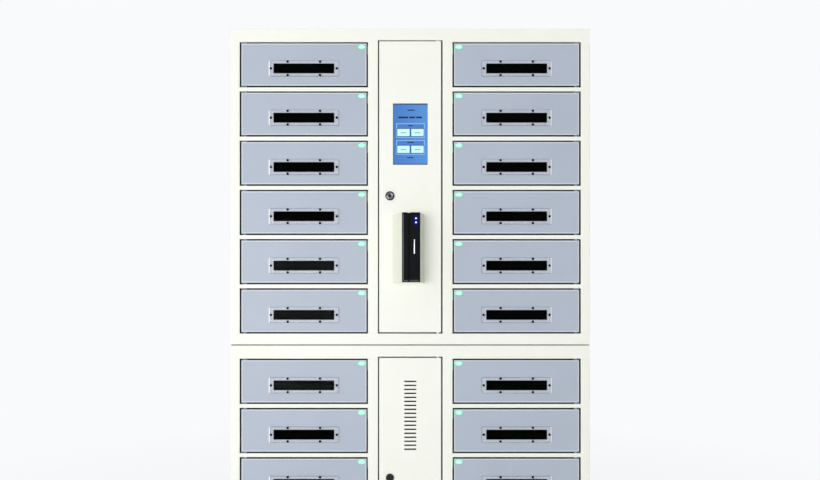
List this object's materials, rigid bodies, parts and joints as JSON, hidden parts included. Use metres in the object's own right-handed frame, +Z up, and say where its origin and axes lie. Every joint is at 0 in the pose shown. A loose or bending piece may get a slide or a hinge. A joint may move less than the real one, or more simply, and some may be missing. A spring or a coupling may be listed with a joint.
{
  "type": "charging locker",
  "caption": "Free-standing steel charging locker: two stacked cabinets of small windowed doors either side of a control column with a touchscreen, card reader, cam lock and vent door.",
  "frame": {"origin": "on the floor at the centre of the cabinets' footprint, which is also the centre of the floor anchor pattern", "axes": "+Z up, the doors face -Y, +X to the right of a person facing the doors"},
  "size_m": [0.9, 0.51, 1.401],
  "materials": {
    "cabinet_paint": "satin powder coat",
    "door_paint": "satin powder coat",
    "plinth_paint": "satin powder coat",
    "lock_case": "satin",
    "lamp_lens": "lit lens",
    "outlet_plastic": "matte",
    "electronics_case": "satin",
    "screen": "lit screen",
    "reader_plastic": "fine texture",
    "lock_plating": "nickel plated",
    "window_clear": "polished"
  },
  "bodies": {
    "cabinet": {"side_panels": "cabinet_paint", "top_panels": "cabinet_paint", "floor_panels": "cabinet_paint", "back_panels": "cabinet_paint", "partitions": "cabinet_paint", "shelves": "cabinet_paint", "base_plinth": "plinth_paint", "bay_locks": "lock_case", "bay_lamps": "lamp_lens", "bay_outlets": "outlet_plastic", "power_supply": "electronics_case", "control_board": "electronics_case"},
    "control_door": {"control_door": "cabinet_paint", "touchscreen": "screen", "card_reader_mount": "cabinet_paint", "card_reader": "reader_plastic", "control_lock_barrel": "lock_plating"},
    "control_lock": {"control_lock_plug": "lock_plating"},
    "vent_door": {"vent_door": "cabinet_paint"},
    "vent_latch": {"vent_latch": "lock_plating"},
    "bay_door_left_01": {"door_left_01": "door_paint", "window_left_01": "window_clear"},
    "bay_door_left_02": {"door_left_02": "door_paint", "window_left_02": "window_clear"},
    "bay_door_left_03": {"door_left_03": "door_paint", "window_left_03": "window_clear"},
    "bay_door_left_04": {"door_left_04": "door_paint", "window_left_04": "window_clear"},
    "bay_door_left_05": {"door_left_05": "door_paint", "window_left_05": "window_clear"},
    "bay_door_left_06": {"door_left_06": "door_paint", "window_left_06": "window_clear"},
    "bay_door_left_07": {"door_left_07": "door_paint", "window_left_07": "window_clear"},
    "bay_door_left_08": {"door_left_08": "door_paint", "window_left_08": "window_clear"},
    "bay_door_left_09": {"door_left_09": "door_paint", "window_left_09": "window_clear"},
    "bay_door_left_10": {"door_left_10": "door_paint", "window_left_10": "window_clear"},
    "bay_door_right_01": {"door_right_01": "door_paint", "window_right_01": "window_clear"},
    "bay_door_right_02": {"door_right_02": "door_paint", "window_right_02": "window_clear"},
    "bay_door_right_03": {"door_right_03": "door_paint", "window_right_03": "window_clear"},
    "bay_door_right_04": {"door_right_04": "door_paint", "window_right_04": "window_clear"},
    "bay_door_right_05": {"door_right_05": "door_paint", "window_right_05": "window_clear"},
    "bay_door_right_06": {"door_right_06": "door_paint", "window_right_06": "window_clear"},
    "bay_door_right_07": {"door_right_07": "door_paint", "window_right_07": "window_clear"},
    "bay_door_right_08": {"door_right_08": "door_paint", "window_right_08": "window_clear"},
    "bay_door_right_09": {"door_right_09": "door_paint", "window_right_09": "window_clear"},
    "bay_door_right_10": {"door_right_10": "door_paint", "window_right_10": "window_clear"}
  },
  "joints": [
    {"name": "bay_door_left_01_hinge", "type": "hinge", "parent": "cabinet", "child": "bay_door_left_01", "pos_m": [-0.416, -0.219, 1.31125], "axis": [0, 0, -1], "range_deg": [0, 105]},
    {"name": "bay_door_left_02_hinge", "type": "hinge", "parent": "cabinet", "child": "bay_door_left_02", "pos_m": [-0.416, -0.219, 1.18775], "axis": [0, 0, -1], "range_deg": [0, 105]},
    {"name": "bay_door_left_03_hinge", "type": "hinge", "parent": "cabinet", "child": "bay_door_left_03", "pos_m": [-0.416, -0.219, 1.06425], "axis": [0, 0, -1], "range_deg": [0, 105]},
    {"name": "bay_door_left_04_hinge", "type": "hinge", "parent": "cabinet", "child": "bay_door_left_04", "pos_m": [-0.416, -0.219, 0.94075], "axis": [0, 0, -1], "range_deg": [0, 105]},
    {"name": "bay_door_left_05_hinge", "type": "hinge", "parent": "cabinet", "child": "bay_door_left_05", "pos_m": [-0.416, -0.219, 0.81725], "axis": [0, 0, -1], "range_deg": [0, 105]},
    {"name": "bay_door_left_06_hinge", "type": "hinge", "parent": "cabinet", "child": "bay_door_left_06", "pos_m": [-0.416, -0.219, 0.69375], "axis": [0, 0, -1], "range_deg": [0, 105]},
    {"name": "bay_door_left_07_hinge", "type": "hinge", "parent": "cabinet", "child": "bay_door_left_07", "pos_m": [-0.416, -0.219, 0.51725], "axis": [0, 0, -1], "range_deg": [0, 105]},
    {"name": "bay_door_left_08_hinge", "type": "hinge", "parent": "cabinet", "child": "bay_door_left_08", "pos_m": [-0.416, -0.219, 0.39375], "axis": [0, 0, -1], "range_deg": [0, 105]},
    {"name": "bay_door_left_09_hinge", "type": "hinge", "parent": "cabinet", "child": "bay_door_left_09", "pos_m": [-0.416, -0.219, 0.27025], "axis": [0, 0, -1], "range_deg": [0, 105]},
    {"name": "bay_door_left_10_hinge", "type": "hinge", "parent": "cabinet", "child": "bay_door_left_10", "pos_m": [-0.416, -0.219, 0.14675], "axis": [0, 0, -1], "range_deg": [0, 105]},
    {"name": "bay_door_right_01_hinge", "type": "hinge", "parent": "cabinet", "child": "bay_door_right_01", "pos_m": [0.416, -0.219, 1.31125], "axis": [0, 0, 1], "range_deg": [0, 105]},
    {"name": "bay_door_right_02_hinge", "type": "hinge", "parent": "cabinet", "child": "bay_door_right_02", "pos_m": [0.416, -0.219, 1.18775], "axis": [0, 0, 1], "range_deg": [0, 105]},
    {"name": "bay_door_right_03_hinge", "type": "hinge", "parent": "cabinet", "child": "bay_door_right_03", "pos_m": [0.416, -0.219, 1.06425], "axis": [0, 0, 1], "range_deg": [0, 105]},
    {"name": "bay_door_right_04_hinge", "type": "hinge", "parent": "cabinet", "child": "bay_door_right_04", "pos_m": [0.416, -0.219, 0.94075], "axis": [0, 0, 1], "range_deg": [0, 105]},
    {"name": "bay_door_right_05_hinge", "type": "hinge", "parent": "cabinet", "child": "bay_door_right_05", "pos_m": [0.416, -0.219, 0.81725], "axis": [0, 0, 1], "range_deg": [0, 105]},
    {"name": "bay_door_right_06_hinge", "type": "hinge", "parent": "cabinet", "child": "bay_door_right_06", "pos_m": [0.416, -0.219, 0.69375], "axis": [0, 0, 1], "range_deg": [0, 105]},
    {"name": "bay_door_right_07_hinge", "type": "hinge", "parent": "cabinet", "child": "bay_door_right_07", "pos_m": [0.416, -0.219, 0.51725], "axis": [0, 0, 1], "range_deg": [0, 105]},
    {"name": "bay_door_right_08_hinge", "type": "hinge", "parent": "cabinet", "child": "bay_door_right_08", "pos_m": [0.416, -0.219, 0.39375], "axis": [0, 0, 1], "range_deg": [0, 105]},
    {"name": "bay_door_right_09_hinge", "type": "hinge", "parent": "cabinet", "child": "bay_door_right_09", "pos_m": [0.416, -0.219, 0.27025], "axis": [0, 0, 1], "range_deg": [0, 105]},
    {"name": "bay_door_right_10_hinge", "type": "hinge", "parent": "cabinet", "child": "bay_door_right_10", "pos_m": [0.416, -0.219, 0.14675], "axis": [0, 0, 1], "range_deg": [0, 105]},
    {"name": "control_door_hinge", "type": "hinge", "parent": "cabinet", "child": "control_door", "pos_m": [0.0695, -0.219, 1.005], "axis": [0, 0, 1], "range_deg": [0, 95]},
    {"name": "control_lock_turn", "type": "hinge", "parent": "control_door", "child": "control_lock", "pos_m": [-0.051, -0.225, 0.982], "axis": [0, 1, 0], "range_deg": [0, 90]},
    {"name": "vent_door_hinge", "type": "hinge", "parent": "cabinet", "child": "vent_door", "pos_m": [0.0695, -0.219, 0.3345], "axis": [0, 0, 1], "range_deg": [0, 95]},
    {"name": "vent_latch_turn", "type": "hinge", "parent": "vent_door", "child": "vent_latch", "pos_m": [-0.051, -0.225, 0.276], "axis": [0, 1, 0], "range_deg": [0, 90]}
  ]
}
